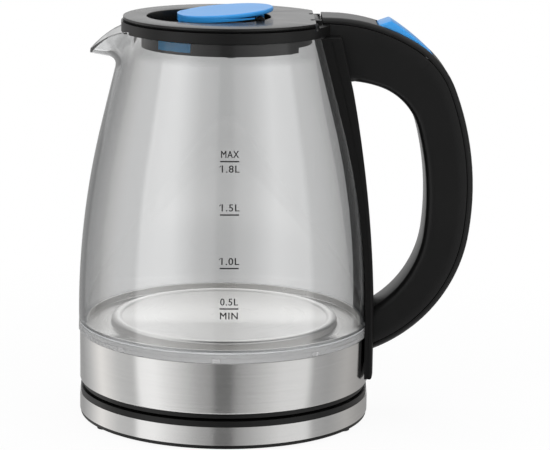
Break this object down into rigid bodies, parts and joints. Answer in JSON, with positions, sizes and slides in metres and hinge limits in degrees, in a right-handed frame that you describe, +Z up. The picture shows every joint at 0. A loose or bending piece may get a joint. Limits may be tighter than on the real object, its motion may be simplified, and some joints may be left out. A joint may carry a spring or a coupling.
{
  "type": "electric kettle",
  "caption": "Glass jug kettle with a beaked spout, steel bands, a hinged lid with a lift tab, a rocker switch on its loop handle and a round cordless power base.",
  "frame": {"origin": "on the jug's vertical axis at the level that the feet stand on, 1.4 mm below the base's underside", "axes": "+Z up, -X to the spout, +X to the handle, +Y to the cord hole"},
  "size_m": [0.218, 0.1632, 0.2294],
  "materials": {
    "black_plastic": "satin moulded",
    "blue_plastic": "satin moulded",
    "steel": "brushed round",
    "glass": "clear",
    "clear_plastic": "clear moulded, ribbed",
    "rubber": "matt",
    "silicone": "soft translucent",
    "brass": "plain",
    "aluminium": "plain",
    "control_plastic": "moulded",
    "lead_sleeve": "sleeved",
    "bolt_steel": "bright zinc"
  },
  "bodies": {
    "base": {"base_shell": "black_plastic", "base_band": "steel", "base_cover": "black_plastic", "base_feet": "rubber", "base_screws": "bolt_steel", "cord_gland": "rubber", "base_connector": "control_plastic", "base_contacts": "brass", "shutter_spring": "bolt_steel"},
    "shutter": {"connector_shutter": "control_plastic"},
    "lid": {"lid_cover": "black_plastic", "lid_skirt": "black_plastic", "lid_underplate": "black_plastic", "lid_screws": "bolt_steel", "tab_pin": "bolt_steel", "tab_spring": "bolt_steel"},
    "tab": {"lid_tab": "blue_plastic"},
    "latch_near": {"latch_near": "blue_plastic"},
    "latch_far": {"latch_far": "blue_plastic"},
    "switch": {"power_switch": "blue_plastic"},
    "jug": {"jug_base_cover": "black_plastic", "floor_studs": "bolt_steel", "jug_cover_screws": "bolt_steel", "jug_band": "steel", "light_ring": "clear_plastic", "glass_gasket": "silicone", "heater_plate": "steel", "heater_seal": "silicone", "heat_spreader": "aluminium", "heating_element": "bolt_steel", "jug_connector": "control_plastic", "jug_contacts": "brass", "dry_boil_discs": "bolt_steel", "glass_body": "glass", "rim_collar": "black_plastic", "rim_gasket": "silicone", "lid_hinge_pin": "bolt_steel", "handle_body": "black_plastic", "handle_back": "black_plastic", "handle_screws": "bolt_steel", "switch_pin": "bolt_steel", "steam_switch": "control_plastic", "steam_disc": "bolt_steel", "switch_leads": "lead_sleeve"}
  },
  "joints": [
    {"name": "jug_swivel", "type": "hinge", "parent": "base", "child": "shutter", "pos_m": [0, 0, 0.019], "axis": [0, 0, 1], "continuous": true},
    {"name": "jug_lift", "type": "slide", "parent": "shutter", "child": "jug", "axis": [0, 0, 1], "range_m": [0, 0.12]},
    {"name": "lid_hinge", "type": "hinge", "parent": "jug", "child": "lid", "pos_m": [0.04859, 0, 0.2209], "axis": [0, 1, 0], "range_deg": [0, 85]},
    {"name": "tab_hinge", "type": "hinge", "parent": "lid", "child": "tab", "pos_m": [0.01799, 0, 0.2228], "axis": [0, 1, 0], "range_deg": [0, 8], "stiffness_Nm_per_rad": 0.3, "springref_deg": -11.46},
    {"name": "latch_near_slide", "type": "slide", "parent": "lid", "child": "latch_near", "axis": [0, 1, 0], "range_m": [0, 0.0021]},
    {"name": "latch_far_slide", "type": "slide", "parent": "lid", "child": "latch_far", "axis": [0, -1, 0], "range_m": [0, 0.0021]},
    {"name": "switch_rock", "type": "hinge", "parent": "jug", "child": "switch", "pos_m": [0.10927, 0, 0.20382], "axis": [0, -1, 0], "range_deg": [0, 5], "stiffness_Nm_per_rad": 0.1, "springref_deg": -11.46}
  ],
  "couplings": [
    {"joint": "latch_near_slide", "follows": "tab_hinge", "m_per_rad": 0.014324},
    {"joint": "latch_far_slide", "follows": "tab_hinge", "m_per_rad": 0.014324}
  ]
}
